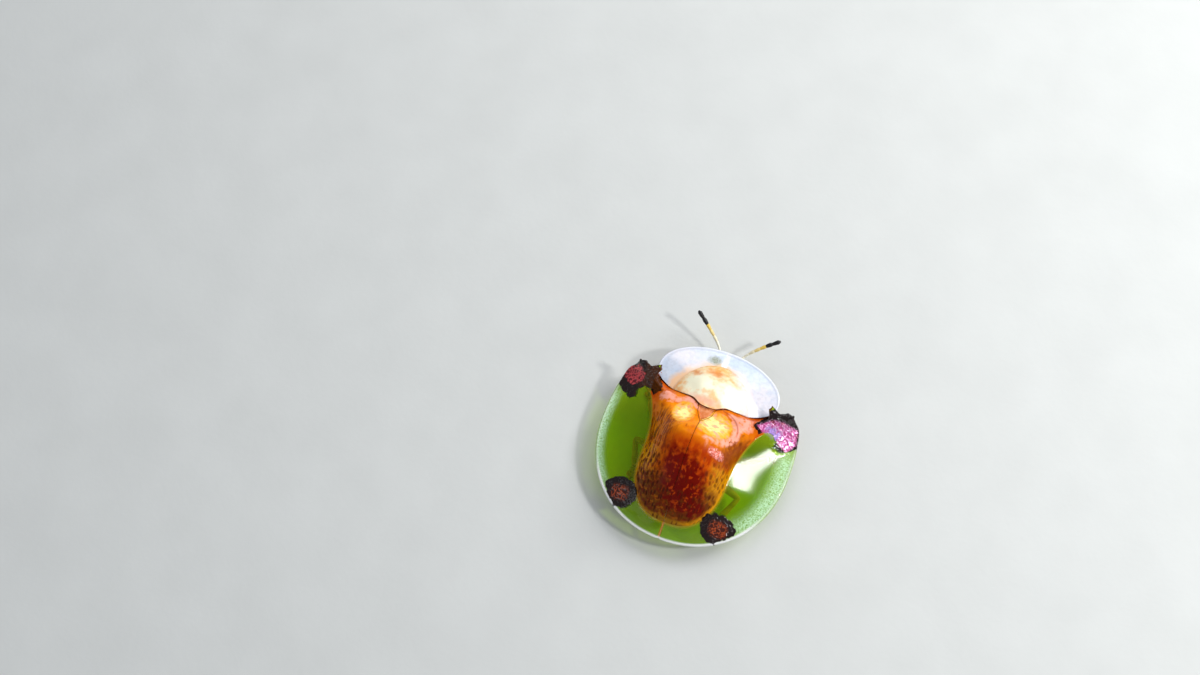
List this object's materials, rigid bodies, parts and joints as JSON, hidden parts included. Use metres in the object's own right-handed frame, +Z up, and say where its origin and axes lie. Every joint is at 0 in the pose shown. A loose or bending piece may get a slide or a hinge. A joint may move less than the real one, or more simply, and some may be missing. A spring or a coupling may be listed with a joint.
{
  "type": "tortoise beetle",
  "caption": "Standing tortoise beetle with a domed golden-brown back, clear rims, dark corner patches, forward feelers and splayed legs.",
  "frame": {"origin": "on the floor, under the middle of the whole outline, feelers included", "axes": "+Z up, -Y the way the head points, +X towards the beetle's left"},
  "size_m": [0.0124, 0.0148, 0.0055],
  "materials": {
    "pronotum": "glossy pale golden cuticle with a clear rim",
    "elytra": "glossy orange-brown cuticle with dark pits and patches",
    "clear_rim": "clear, slightly amber cuticle, glossy",
    "underside": "satin straw-yellow cuticle",
    "legs": "satin straw-yellow cuticle",
    "feelers": "dull straw-yellow, black at the tips",
    "eyes": "glossy black"
  },
  "bodies": {
    "root": {"pronotum": "pronotum", "scutellum": "elytra", "elytron_left": "elytra", "elytron_right": "elytra", "prothorax": "underside", "thorax": "underside", "abdomen": "underside", "head": "underside", "eye_left": "eyes", "eye_right": "eyes", "feeler_left": "feelers", "feeler_right": "feelers", "leg_front_left": "legs", "leg_front_right": "legs", "leg_middle_left": "legs", "leg_middle_right": "legs", "leg_hind_left": "legs", "leg_hind_right": "legs"}
  },
  "joints": []
}
